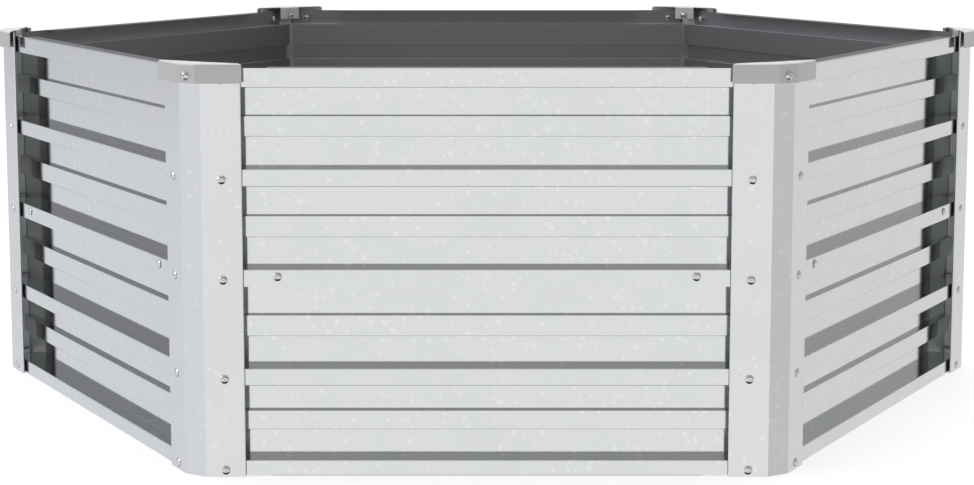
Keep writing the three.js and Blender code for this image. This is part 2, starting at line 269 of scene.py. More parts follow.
class NodeTool:
    """A Geometry Nodes tree with named inputs, which turns an object's mesh into a finished one."""

    title = "tool"
    sockets: tuple[tuple[str, str], ...] = ()

    def __init__(self) -> None:
        """Makes the tree, its inputs and its output."""
        self.tree = bpy.data.node_groups.new(self.title, "GeometryNodeTree")
        self.identifiers: dict[str, str] = {}
        interface = self.tree.interface
        interface.new_socket("Geometry", in_out="INPUT", socket_type="NodeSocketGeometry")
        for name, kind in (*self.sockets, ("Material", "NodeSocketMaterial")):
            made = interface.new_socket(name, in_out="INPUT", socket_type=kind)
            self.identifiers[name] = made.identifier
        interface.new_socket("Geometry", in_out="OUTPUT", socket_type="NodeSocketGeometry")
        self.graph = Graph(self.tree)
        self.entry = self.tree.nodes.new("NodeGroupInput")
        result = self.build()
        real = self.graph.add("GeometryNodeRealizeInstances", inputs={"Geometry": result})
        painted = {"Geometry": real, "Material": self.given("Material")}
        last = self.graph.add("GeometryNodeSetMaterial", inputs=painted)
        leave = self.tree.nodes.new("NodeGroupOutput")
        self.tree.links.new(last.socket, leave.inputs[0])

    def given(self, name: str) -> Wire:
        """The wire of one of the tree's own inputs."""
        return Wire(self.graph, self.entry, name)

    def build(self) -> Wire:
        """Adds the nodes between the inputs and the last steps, and gives their geometry."""
        raise NotImplementedError

    def run(self, name: str, source: bpy.types.Object, **values: Any) -> bpy.types.Object:
        """Runs the tree on an object and keeps the result as a plain mesh.

        Args:
            name: The name of the piece that is made.
            source: The object that the tree starts from, which is then deleted.
            **values: The tree's inputs, by name with underscores for spaces.

        Returns:
            The new object.
        """
        modifier = source.modifiers.new(self.title, "NODES")
        modifier.node_group = self.tree
        for key, value in values.items():
            modifier[self.identifiers[key.replace("_", " ")]] = value
        return plain_copy(name, source)


class FoldedSheetTool(NodeTool):
    """Folds sheet: rounds a path's corners, sweeps it along a line and gives it a thickness.

    The path's stretch marked as lipped is swept over the middle, and the rest over both ends.
    """

    title = "folded sheet"
    sockets = (
        ("Direction", "NodeSocketVector"),
        ("Lipped length", "NodeSocketFloat"),
        ("End length", "NodeSocketFloat"),
        ("Sheet", "NodeSocketFloat"),
        ("Bend steps", "NodeSocketInt"),
    )

    def build(self) -> Wire:
        """Adds the nodes that round, sweep, join and thicken the path.

        Returns:
            The folded sheet.
        """
        graph = self.graph
        path = graph.add("GeometryNodeMeshToCurve", inputs={"Mesh": self.given("Geometry")})
        rounding = {
            "Curve": path,
            "Count": self.given("Bend steps"),
            "Radius": self._attribute(BEND_RADIUS),
            "Limit Radius": True,
        }
        bent = graph.add("GeometryNodeFilletCurve", {"mode": "POLY"}, rounding)
        line = graph.add("GeometryNodeCurveToMesh", inputs={"Curve": bent})
        chosen = {"Geometry": line, "Selection": self._attribute(LIPPED).above(IS_SET)}
        middle = graph.add("GeometryNodeSeparateGeometry", {"domain": "POINT"}, chosen)
        ends = middle.out("Inverted")
        lipped, end = self.given("Lipped length"), self.given("End length")
        swept = [
            self._swept(middle, lipped * -0.5, lipped),
            self._swept(ends, lipped * -0.5 - end, end),
            self._swept(ends, lipped * 0.5, end),
        ]
        return self._thickened(self._joined(swept))

    def _attribute(self, name: str) -> Wire:
        """Reads a number kept on the path's points."""
        kind = "GeometryNodeInputNamedAttribute"
        return self.graph.add(kind, {"data_type": "FLOAT"}, {"Name": name})

    def _swept(self, line: Wire, start: Value, length: Value) -> Wire:
        """Sweeps a line of edges into a surface.

        Args:
            line: The edges.
            start: Where the sweep starts, measured along the tree's direction.
            length: How far it goes.

        Returns:
            The surface.
        """
        direction = self.given("Direction")
        moved = {"Geometry": line, "Translation": self.graph.scaled(direction, start)}
        placed = self.graph.add("GeometryNodeTransform", inputs=moved)
        offset = {"Mesh": placed, "Offset": self.graph.scaled(direction, length)}
        return self.graph.add("GeometryNodeExtrudeMesh", {"mode": "EDGES"}, offset)

    def _joined(self, surfaces: list[Wire]) -> Wire:
        """Joins surfaces and merges the points that they share.

        Args:
            surfaces: The surfaces.

        Returns:
            The one surface.
        """
        joined = self.graph.add("GeometryNodeJoinGeometry", inputs={"Geometry": surfaces})
        merging = {"Geometry": joined, "Distance": MERGE_WITHIN * MM}
        return self.graph.add("GeometryNodeMergeByDistance", inputs=merging)

    def _thickened(self, surface: Wire) -> Wire:
        """Gives a surface the sheet's thickness, half on each side.

        Args:
            surface: The middle of the sheet.

        Returns:
            The closed shell.
        """
        sheet = self.given("Sheet")
        normal = self.graph.add("GeometryNodeInputNormal")
        lifted = {"Geometry": surface, "Offset": self.graph.scaled(normal, sheet * 0.5)}
        face = self.graph.add("GeometryNodeSetPosition", inputs=lifted)
        pushed = {"Mesh": face, "Offset Scale": sheet * -1.0, "Individual": False}
        back = self.graph.add("GeometryNodeExtrudeMesh", {"mode": "FACES"}, pushed)
        front = self.graph.add("GeometryNodeFlipFaces", inputs={"Mesh": face})
        return self._joined([back, front])


class FastenerTool(NodeTool):
    """Sets a fastener at every point of a mesh, turned the way that the point says."""

    title = "fasteners"
    sockets = (
        ("Fastener", "NodeSocketObject"),
        ("Most twist", "NodeSocketFloat"),
        ("Seed", "NodeSocketInt"),
    )

    def build(self) -> Wire:
        """Adds the nodes that turn and place the fasteners.

        Returns:
            The fasteners.
        """
        graph = self.graph
        facing = graph.add(
            "GeometryNodeInputNamedAttribute", {"data_type": "FLOAT_VECTOR"}, {"Name": FACING}
        )
        aimed = graph.add("FunctionNodeAlignRotationToVector", {"axis": "Z"}, {"Vector": facing})
        limits = {"Min_001": 0.0, "Max_001": self.given("Most twist"), "Seed": self.given("Seed")}
        kind = "FunctionNodeRandomValue"
        twist = graph.add(kind, {"data_type": "FLOAT"}, limits, RANDOM_NUMBER)
        about = {"Axis": UPWARDS, "Angle": twist}
        spin = graph.add("FunctionNodeAxisAngleToRotation", inputs=about)
        turned = graph.add(
            "FunctionNodeRotateRotation",
            {"rotation_space": "LOCAL"},
            {"Rotation": aimed, "Rotate By": spin},
        )
        shape = graph.add(
            "GeometryNodeObjectInfo", inputs={"Object": self.given("Fastener")}, output="Geometry"
        )
        placing = {"Points": self.given("Geometry"), "Instance": shape, "Rotation": turned}
        return graph.add("GeometryNodeInstanceOnPoints", inputs=placing)


# ---- Meshes --------------------------------------------------------------------------------------

MERGE_WITHIN = 0.002  # points closer than this are one point
CUT_PAST = 1.0  # how far a cutting tool goes beyond what it cuts
SHARP_ANGLE = math.radians(35)  # edges that turn more than this stay sharp
LEANS_THERE = 0.2  # a face looks some way where its normal leans there more than this


def linked(name: str, mesh: bpy.types.Mesh) -> bpy.types.Object:
    """Makes an object for a mesh and links it to the scene.

    Args:
        name: The object's name.
        mesh: Its mesh.

    Returns:
        The object.
    """
    made = bpy.data.objects.new(name, mesh)
    bpy.context.scene.collection.objects.link(made)
    return made


def new_object(
    name: str,
    points: Iterable[Sequence[float]],
    edges: Sequence[Sequence[int]] = (),
    faces: Sequence[Sequence[int]] = (),
) -> bpy.types.Object:
    """Makes an object from points in millimetres.

    Args:
        name: The object's name.
        points: Its points.
        edges: Pairs of point numbers, where it has no faces.
        faces: Rings of point numbers.

    Returns:
        The object, linked to the scene.
    """
    mesh = bpy.data.meshes.new(name)
    mesh.from_pydata([[value * MM for value in point] for point in points], edges, faces)
    mesh.update()
    return linked(name, mesh)


def keep_numbers(made: bpy.types.Object, name: str, values: Sequence[float]) -> None:
    """Keeps one number for each point of a mesh as an attribute."""
    attribute = made.data.attributes.new(name, "FLOAT", "POINT")
    attribute.data.foreach_set("value", values)


def plain_copy(name: str, source: bpy.types.Object) -> bpy.types.Object:
    """Turns an object with its modifiers into a plain mesh object and deletes the first.

    Args:
        name: The new object's name.
        source: The object with modifiers.

    Returns:
        The new object.
    """
    bpy.context.view_layer.update()
    evaluated = source.evaluated_get(bpy.context.evaluated_depsgraph_get())
    mesh = bpy.data.meshes.new_from_object(evaluated)
    source.modifiers.clear()
    bpy.data.objects.remove(source)
    mesh.name = name
    return linked(name, mesh)


def clean_shell(made: bpy.types.Object, smooth_under: float) -> None:
    """Merges doubles, points the faces outwards and smooths the narrow faces of bends.

    Args:
        made: An object whose mesh is one or more closed shells.
        smooth_under: Faces with a side shorter than this are shaded smooth, in millimetres.
    """
    mesh = made.data
    work = bmesh.new()
    work.from_mesh(mesh)
    bmesh.ops.remove_doubles(work, verts=work.verts, dist=MERGE_WITHIN * MM)
    bmesh.ops.dissolve_degenerate(work, edges=work.edges, dist=MERGE_WITHIN * MM / 2)
    bmesh.ops.recalc_face_normals(work, faces=work.faces)
    for face in work.faces:
        face.smooth = min(edge.calc_length() for edge in face.edges) < smooth_under * MM
    for edge in work.edges:
        edge.smooth = len(edge.link_faces) == 2 and edge.calc_face_angle(0.0) < SHARP_ANGLE
    work.to_mesh(mesh)
    work.free()
    for name in (BEND_RADIUS, LIPPED, FACING):
        kept = mesh.attributes.get(name)
        if kept is not None:
            mesh.attributes.remove(kept)


def mark_painted_light_and_shade(made: bpy.types.Object, way: Way) -> None:
    """Marks the faces of a piece that look a certain way for its finish's other tone, which holds
    painted light and shade.
    """
    toned = [float(face.normal.dot(Vector(way)) > LEANS_THERE) for face in made.data.polygons]
    made.data.attributes.new(PAINTED_LIGHT_AND_SHADE, "FLOAT", "FACE").data.foreach_set("value", toned)


def turned_about_bed(mesh: bpy.types.Mesh, steps: float) -> None:
    """Turns a mesh about the bed's middle by a number of sixths of a turn."""
    mesh.transform(Matrix.Rotation(steps * TURN, 4, "Z"))


def rounded(points: Sequence[Point], radius: float, steps: int) -> list[Point]:
    """Rounds the inner corners of an open path in a plane.

    Args:
        points: The path's corners.
        radius: The radius of every inner corner.
        steps: The number of straight pieces in each round.

    Returns:
        The path's points, with the ends as they were.
    """
    path = [points[0]]
    for before, corner, after in zip(points, points[1:], points[2:]):
        here = Vector(corner)
        back = (Vector(before) - here).normalized()
        ahead = (Vector(after) - here).normalized()
        half = back.angle(ahead) / 2
        middle = here + (back + ahead).normalized() * (radius / math.sin(half))
        start = here + back * (radius / math.tan(half)) - middle
        end = here + ahead * (radius / math.tan(half)) - middle
        for step in range(steps + 1):
            arm = start.lerp(end, step / steps).normalized() * radius
            path.append(tuple(middle + arm))
    path.append(points[-1])
    return path


def lathe(name: str, profile: Sequence[Point], sides: int) -> bpy.types.Object:
    """Turns a profile about the Z axis.

    Args:
        name: The object's name.
        profile: Pairs of radius and height that start and end on the axis, going up.
        sides: The number of flats round the turned surface.

    Returns:
        The closed object.
    """
    rings = profile[1:-1]
    points = [(0.0, 0.0, profile[0][1])]
    for radius, height in rings:
        for side in range(sides):
            angle = math.tau * side / sides
            points.append((radius * math.cos(angle), radius * math.sin(angle), height))
    points.append((0.0, 0.0, profile[-1][1]))
    top = len(points) - 1
    faces: list[tuple[int, ...]] = []
    for side in range(sides):
        after = (side + 1) % sides
        faces.append((0, 1 + after, 1 + side))
        for ring in range(len(rings) - 1):
            low, high = 1 + ring * sides, 1 + (ring + 1) * sides
            faces.append((low + side, low + after, high + after, high + side))
        last = 1 + (len(rings) - 1) * sides
        faces.append((last + side, last + after, top))
    return new_object(name, points, faces=faces)


def cut_with(
    target: bpy.types.Object, tools: Sequence[bpy.types.Object], operation: str
) -> bpy.types.Object:
    """Cuts an object with others, which are then deleted.

    Args:
        target: The object that is cut.
        tools: The closed objects to cut with.
        operation: DIFFERENCE or INTERSECT.

    Returns:
        The cut object.
    """
    for tool in tools:
        modifier = target.modifiers.new(tool.name, "BOOLEAN")
        modifier.operation = operation
        modifier.solver = "EXACT"
        modifier.object = tool
    name = target.name
    made = plain_copy(name, target)
    for tool in tools:
        bpy.data.objects.remove(tool)
    return made


# ---- Finishes ------------------------------------------------------------------------------------

NOISE_MIDDLE = 0.5  # what a noise is on average


@dataclass(frozen=True)
class ZincFinish:
    """Galvanised steel: a bright skin of zinc with pale flecks, soft clouds and a faint ripple.

    Sizes are those of the features, in millimetres. A detail is how many finer layers a noise has.
    """

    title: str
    light: Colour  # base colour of the bright zinc
    dark: Colour  # base colour of the duller zinc in the clouds
    fleck: Colour  # base colour of the pale flecks
    roughness: float
    metallic: float = 1.0
    fleck_roughness: float = 0.06  # how much rougher a fleck is
    fleck_pitch: float = 9.0  # between neighbouring crystals that may show as a fleck
    fleck_edge: tuple[float, float] = (0.4, 0.14)  # from a crystal's middle, in pitches
    fleck_share: float = 0.55  # share of the crystals that show
    fleck_sizes: tuple[float, float] = (1.7, 0.65)  # divisors of a fleck's reach, small to large
    fleck_strength: float = 0.9
    faintest_fleck: float = 0.35  # strength of the faintest fleck, as a share of that
    group_size: float = 45.0  # of the loose groups that the flecks lie in
    group_detail: float = 1.0
    group_shares: tuple[float, float] = (0.4, 1.6)  # factors on the share, outside groups and in
    ragged_size: float = 4.0  # of the wobble in a fleck's outline
    ragged_detail: float = 2.0
    ragged_reach: float = 7.0
    cloud_size: float = 90.0
    cloud_detail: float = 3.0
    noise_core: tuple[float, float] = (0.35, 0.65)  # values of a noise that become 0 and 1
    grain_size: float = 3.0
    grain_detail: float = 2.0
    grain_roughness: float = 0.03  # spread of the roughness from grain to grain
    ripple: float = 0.006  # height of the ripple
    ripple_size: float = 14.0
    ripple_detail: float = 1.0
    crystal_size: float = 0.6  # of the crystals that differ in tone, in pitches of the flecks
    crystal_tone: float = 0.25  # strength of the crystals' own tone
    painted_light_and_shade_colour: Colour = (0.315, 0.322, 0.329)  # of the marked faces: painted shade, darker, inside panels and posts; painted light, lighter, on cap tops
    other_roughness: float = 0.45

    def material(self) -> bpy.types.Material:
        """Builds the finish as a material on Object coordinates.

        Returns:
            The material.
        """
        made = bpy.data.materials.new(self.title)
        made.use_nodes = True
        made.node_tree.nodes.clear()
        graph = Graph(made.node_tree)
        place = graph.add("ShaderNodeTexCoord", output="Object")
        fleck = self._flecks(graph, place)
        noise = self._noise(graph, place, self.cloud_size, self.cloud_detail)
        clouds = noise.between(*self.noise_core)
        crystals = self._crystals(graph, place)
        tone = clouds * (1.0 - self.crystal_tone) + crystals * self.crystal_tone
        zinc = graph.blend(opaque(self.dark), opaque(self.light), tone)
        colour = graph.blend(zinc, opaque(self.fleck), fleck * self.fleck_strength)
        grain = self._noise(graph, place, self.grain_size, self.grain_detail)
        least = self.roughness - self.grain_roughness / 2
        roughness = grain * self.grain_roughness + fleck * self.fleck_roughness + least
        # Painted light and shade: marked faces take another colour, darker inside the bed and
        # lighter on the caps' tops, and their own roughness.
        other = graph.add("ShaderNodeAttribute", {"attribute_name": PAINTED_LIGHT_AND_SHADE}, output="Fac")
        colour = graph.blend(colour, opaque(self.painted_light_and_shade_colour), other)
        roughness = roughness + other * (self.other_roughness - roughness)
        ripple = self._noise(graph, place, self.ripple_size, self.ripple_detail)
        bump = {"Strength": 1.0, "Distance": self.ripple * MM, "Height": ripple}
        surface = {
            "Base Color": colour,
            "Metallic": self.metallic,
            "Roughness": roughness,
            "Normal": graph.add("ShaderNodeBump", inputs=bump),
        }
        shader = graph.add("ShaderNodeBsdfPrincipled", inputs=surface)
        graph.add("ShaderNodeOutputMaterial", inputs={"Surface": shader})
        return made

    def _noise(self, graph: Graph, place: Wire, size: float, detail: float) -> Wire:
        """Adds a noise whose features are about a size in millimetres."""
        inputs = {"Vector": place, "Scale": 1.0 / (size * MM), "Detail": detail}
        return graph.add("ShaderNodeTexNoise", inputs=inputs)

    def _crystals(self, graph: Graph, place: Wire) -> Wire:
        """Gives each zinc crystal a random tone.

        Args:
            graph: The material's node tree.
            place: The wire of the place on the surface.

        Returns:
            The wire of the tone, from 0 to 1.
        """
        inputs = {"Vector": place, "Scale": 1.0 / (self.fleck_pitch * MM * self.crystal_size)}
        colour = graph.add("ShaderNodeTexVoronoi", inputs=inputs, output="Color")
        return graph.add("ShaderNodeSeparateColor", inputs={"Color": colour}, output="Green")

    def _flecks(self, graph: Graph, place: Wire) -> Wire:
        """Marks the small ragged flecks, in loose groups, where a crystal lies bright side out.

        Args:
            graph: The material's node tree.
            place: The wire of the place on the surface.

        Returns:
            The wire of the strength, from 0 to 1.
        """
        wobble = self._noise(graph, place, self.ragged_size, self.ragged_detail).out("Color")
        centred = graph.vector("SUBTRACT", wobble, (NOISE_MIDDLE,) * 3)
        ragged = graph.vector("ADD", place, graph.scaled(centred, self.ragged_reach * MM))
        cells = {"Vector": ragged, "Scale": 1.0 / (self.fleck_pitch * MM)}
        cell = graph.add("ShaderNodeTexVoronoi", inputs=cells, output="Distance")
        random = graph.add("ShaderNodeSeparateColor", inputs={"Color": cell.out("Color")})
        noise = self._noise(graph, place, self.group_size, self.group_detail)
        outside, within = self.group_shares
        share = self.fleck_share * (noise.between(*self.noise_core) * (within - outside) + outside)
        faint = self.faintest_fleck
        shown = random.above(1.0 - share) * (faint + random.out("Green") * (1.0 - faint))
        small, large = self.fleck_sizes
        reach = cell * (small + random.out("Blue") * (large - small))
        return reach.between(*self.fleck_edge) * shown


# ---- Sub-assemblies ------------------------------------------------------------------------------


@dataclass(frozen=True)
class Plan:
    """The hexagon that the posts' flanges lie on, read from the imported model."""

    rib_depth: float = 4.7  # flange's outside to the rib's face

    @property
    def apothem(self) -> float:
        """From the bed's middle to the outside of the flanges."""
        return self.rib_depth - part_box("upper_panel_front")[0].y / MM

    @property
    def side(self) -> float:
        """One side of the hexagon, corner to corner."""
        return self.apothem / math.cos(TURN / 2)

    def corner_point(self, run: float, depth: float, hand: Hand) -> Point:
        """Finds a place at the corner that points to -Y.

        Args:
            run: How far along a side from the hexagon's corner.
            depth: How far into the bed from the flange's outside.
            hand: Which of the two sides.

        Returns:
            The place's X and Y.
        """
        across = run * math.sin(TURN) - depth * math.cos(TURN)
        out = self.side - run * math.cos(TURN) - depth * math.sin(TURN)
        return hand.value * across, -out

    def flange_facing(self, hand: Hand) -> Way:
        """The level direction that a flange faces."""
        return hand.value * math.sin(TURN / 2), -math.cos(TURN / 2), 0.0


@dataclass
class SubAssembly:
    """What every sub-assembly needs: the plan, its material and its slot."""

    plan: Plan
    steel: bpy.types.Material
    slot: Slot

    def hand_over(self, piece: bpy.types.Object, nodes: Sequence[str]) -> None:
        """Attaches a finished piece to the bed's body, hides the nodes that it stands for and
        reports it.

        Args:
            piece: The finished object.
            nodes: The CAD nodes that it stands for.
        """
        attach(piece, BODY)
        if nodes:
            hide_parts(*nodes)
        stands_for = ", ".join(nodes) or "no node of its own"
        LOG.info("%s: %d faces, for %s", piece.name, len(piece.data.polygons), stands_for)


@dataclass
class FoldedPiece(SubAssembly):
    """A sub-assembly that is folded from sheet with the shared tool."""

    folder: FoldedSheetTool
    sheet: float
    bend_steps: int = 6
    narrow: float = 0.9  # faces with a side under this many thicknesses are parts of a bend

    def fold(
        self,
        name: str,
        paths: Sequence[tuple[Sequence[Place], Sequence[float], bool]],
        direction: Way,
        lipped_length: float,
        end_length: float,
    ) -> bpy.types.Object:
        """Folds sheet along paths through the middle of its thickness.

        Args:
            name: The piece's name.
            paths: For each path its points, its bend radii and whether it is the lipped one.
            direction: The way that the paths are swept.
            lipped_length: The length that the lipped path is swept over.
            end_length: The length that the other path is swept over at each end.

        Returns:
            The folded piece.
        """
        points: list[Sequence[float]] = []
        edges: list[tuple[int, int]] = []
        radii: list[float] = []
        lips: list[float] = []
        for path, bends, lip in paths:
            first = len(points)
            points.extend(path)
            edges.extend((first + index, first + index + 1) for index in range(len(path) - 1))
            radii.extend(radius * MM for radius in bends)
            lips.extend([float(lip)] * len(path))
        blank = new_object(name + "_path", points, edges=edges)
        keep_numbers(blank, BEND_RADIUS, radii)
        keep_numbers(blank, LIPPED, lips)
        piece = self.folder.run(
            name,
            blank,
            Direction=direction,
            Lipped_length=lipped_length * MM,
            End_length=end_length * MM,
            Sheet=self.sheet * MM,
            Bend_steps=self.bend_steps,
            Material=self.steel,
        )
        clean_shell(piece, smooth_under=self.sheet * self.narrow)
        return piece


@dataclass
class RibbedPanels(FoldedPiece):
    """The six sides, each an upper and a lower panel that overlap at the seam rib."""

    bend: float = 0.45  # radius of the bends, in the middle of the sheet
    recess_depth: float = 19.2
    step_proud: float = 6.1
    lip_depth: float = 19.9
    lip_setback: float = 88.0
    clearance: float = 0.3
    lower_bands: tuple[tuple[Level, float], ...] = (
        (Level.RIB, 17.5),
        (Level.RECESS, 31.8),
        (Level.STEP, 21.9),
        (Level.RECESS, 30.8),
        (Level.RIB, 19.2),
        (Level.RECESS, 33.9),
        (Level.STEP, 24.0),
        (Level.RECESS, 33.9),
        (Level.RIB, 19.2),
    )
    upper_bands: tuple[tuple[Level, float], ...] = (
        (Level.RIB, 19.2),
        (Level.RECESS, 33.9),
        (Level.STEP, 24.0),
        (Level.RECESS, 33.9),
        (Level.RIB, 19.2),
        (Level.RECESS, 34.4),
        (Level.STEP, 23.1),
        (Level.RECESS, 31.9),
        (Level.RIB, 21.2),
    )

    def make(self) -> None:
        """Makes the twelve panels."""
        for steps, side in enumerate(SIDES):
            for half, path, lipped in (
                ("upper", self._upper_path(False), self._upper_path(True)),
                ("lower", self._lower_path(False), self._lower_path(True)),
            ):
                node = f"{half}_panel_{side}"
                panel = self._panel(f"{half}_ribbed_sheet_{side}", path, lipped)
                # Painted shade: the faces that look into the bed get a darker colour for the shade
                # inside it.
                mark_painted_light_and_shade(panel, INWARDS)
                turned_about_bed(panel.data, steps)
                self.hand_over(panel, [node])

    def _face(self, level: Level) -> float:
        """Finds the depth of a level's outside face.

        Args:
            level: The level.

        Returns:
            The depth.
        """
        recess = self.plan.rib_depth + self.recess_depth
        faces = {Level.RIB: self.plan.rib_depth, Level.STEP: recess - self.step_proud}
        return faces.get(level, recess)

    def _corners(self, bands: Sequence[tuple[Level, float]], ground: float) -> list[Point]:
        """Lists the corners between bands, as depth and height in the middle of the sheet.

        Args:
            bands: Levels and heights from the ground up.
            ground: The height of the first band's lower edge.

        Returns:
            The corners, two for each ledge.
        """
        corners: list[Point] = []
        height = ground
        for (level, tall), (above, _) in zip(bands, bands[1:]):
            height += tall
            face, next_face = self._face(level), self._face(above)
            # The ledge's thickness lies inside the band that stands proud.
            inset = self.sheet / 2 if next_face < face else -self.sheet / 2
            corners.append((face + self.sheet / 2, height + inset))
            corners.append((next_face + self.sheet / 2, height + inset))
        return corners

    def _upper_path(self, lipped: bool) -> list[Point]:
        """Draws the upper panel's section from its lower edge to its top.

        Args:
            lipped: Whether it has the fold along its top edge.

        Returns:
            The section's points, as depth and height.
        """
        low, high = (corner.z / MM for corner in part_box("upper_panel_front"))
        rib = self.plan.rib_depth + self.sheet / 2
        lip_z = high - self.sheet / 2
        start = [(rib, low), *self._corners(self.upper_bands, low)]
        if lipped:
            return [*start, (rib, lip_z), (rib + self.lip_depth - self.sheet / 2, lip_z)]
        return [*start, (rib, lip_z - self.bend), (rib, high)]

    def _lower_path(self, lipped: bool) -> list[Point]:
        """Draws the lower panel's section from its lower edge to the rib tucked in at the seam.

        Args:
            lipped: Whether it has the fold along its lower edge.

        Returns:
            The section's points, as depth and height.
        """
        low, high = (corner.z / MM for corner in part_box("lower_panel_front"))
        rib = self.plan.rib_depth + self.sheet / 2
        tucked = rib + self.sheet + self.clearance
        lip_z = low + self.sheet / 2
        *corners, last = self._corners(self.lower_bands, low)
        end = [*corners, (tucked, last[1]), (tucked, high)]
        if lipped:
            return [(rib + self.lip_depth - self.sheet / 2, lip_z), (rib, lip_z), *end]
        return [(rib, low), (rib, lip_z + self.bend), *end]

    def _panel(self, name: str, path: list[Point], lipped: list[Point]) -> bpy.types.Object:
        """Folds one panel at the front side.

        Args:
            name: The panel's name.
            path: Its section where it has no lip.
            lipped: Its section with the lip.

        Returns:
            The panel.
        """
        low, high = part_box("upper_panel_front")
        length = (high.x - low.x) / MM
        lip_length = self.plan.side - 2 * self.lip_setback
        plain = self._placed(path)
        folded = self._placed(lipped)
        # The point beside each lip only marks where the bend starts, so it has no radius.
        bends = [0.0 if self._is_straight(path, index) else self.bend for index in range(len(path))]
        paths = [(plain, bends, False), (folded, [self.bend] * len(folded), True)]
        return self.fold(name, paths, SIDEWAYS, lip_length, (length - lip_length) / 2)

    def _placed(self, path: Sequence[Point]) -> list[Place]:
        """Stands a section in the plane X = 0 of the front side."""
        return [(0.0, depth - self.plan.apothem, height) for depth, height in path]

    @staticmethod
    def _is_straight(path: Sequence[Point], index: int) -> bool:
        """Tells whether a path runs straight through a point, or ends there.

        Args:
            path: The path's points.
            index: The point's number.

        Returns:
            Whether it does.
        """
        if index in (0, len(path) - 1):
            return True
        before, here, after = (path[index + step][0] for step in (-1, 0, 1))
        return before == here == after


@dataclass
class CornerPosts(FoldedPiece):
    """The six posts: a strip folded into flange, chamfer and flange, hemmed along both edges."""

    chamfer: float = 27.8
    flange: float = 44.3
    bend: float = 2.0
    hem: float = 2.6
    hem_return: float = 9.0
    clearance: float = 0.3

    @property
    def bend_place(self) -> float:
        """From the hexagon's corner to the post's bend, along a side."""
        return self.chamfer * CORNER_RUN

    @property
    def free_edge(self) -> float:
        """From the hexagon's corner to the flange's free edge."""
        return self.bend_place + self.flange

    @property
    def bolt_run(self) -> float:
        """From the hexagon's corner to the post's bolts."""
        return self.bend_place + self.flange / 2

    def make(self) -> None:
        """Makes the six posts."""
        low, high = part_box("corner_post_front_right")
        height = (high.z - low.z) / MM
        path, radii = self._path(height / 2)
        for index, corner in enumerate(CORNERS):
            name = f"folded_post_{corner}"
            post = self.fold(name, [(path, radii, True)], UPWARDS, height, 0.0)
            # Painted shade: the faces that look into the bed get a darker colour for the shade
            # inside it.
            mark_painted_light_and_shade(post, INWARDS)
            turned_about_bed(post.data, index + HALF_STEP)
            self.hand_over(post, [f"corner_post_{corner}"])

    def _path(self, level: float) -> tuple[list[Place], list[float]]:
        """The strip's path in plan, in the middle of its sheet, with its bend radii.

        Args:
            level: The height that the path is drawn at.

        Returns:
            The points and the radius at each.
        """
        half = self.sheet / 2
        fold_radius = (self.hem - self.sheet) / 2
        tip = (self.free_edge - self.hem_return, self.plan.rib_depth - self.clearance - half)
        one_side = [
            (tip, 0.0),
            ((self.free_edge - half, self.hem - half), fold_radius),
            ((self.free_edge - half, half), fold_radius),
            ((self.bend_place + half * BEND_RUN, half), self.bend - half),
        ]
        right = [(self.plan.corner_point(*place, Hand.RIGHT), radius) for place, radius in one_side]
        left = [(self.plan.corner_point(*place, Hand.LEFT), radius) for place, radius in one_side]
        whole = [*right, *reversed(left)]
        return [(x, y, level) for (x, y), _ in whole], [radius for _, radius in whole]


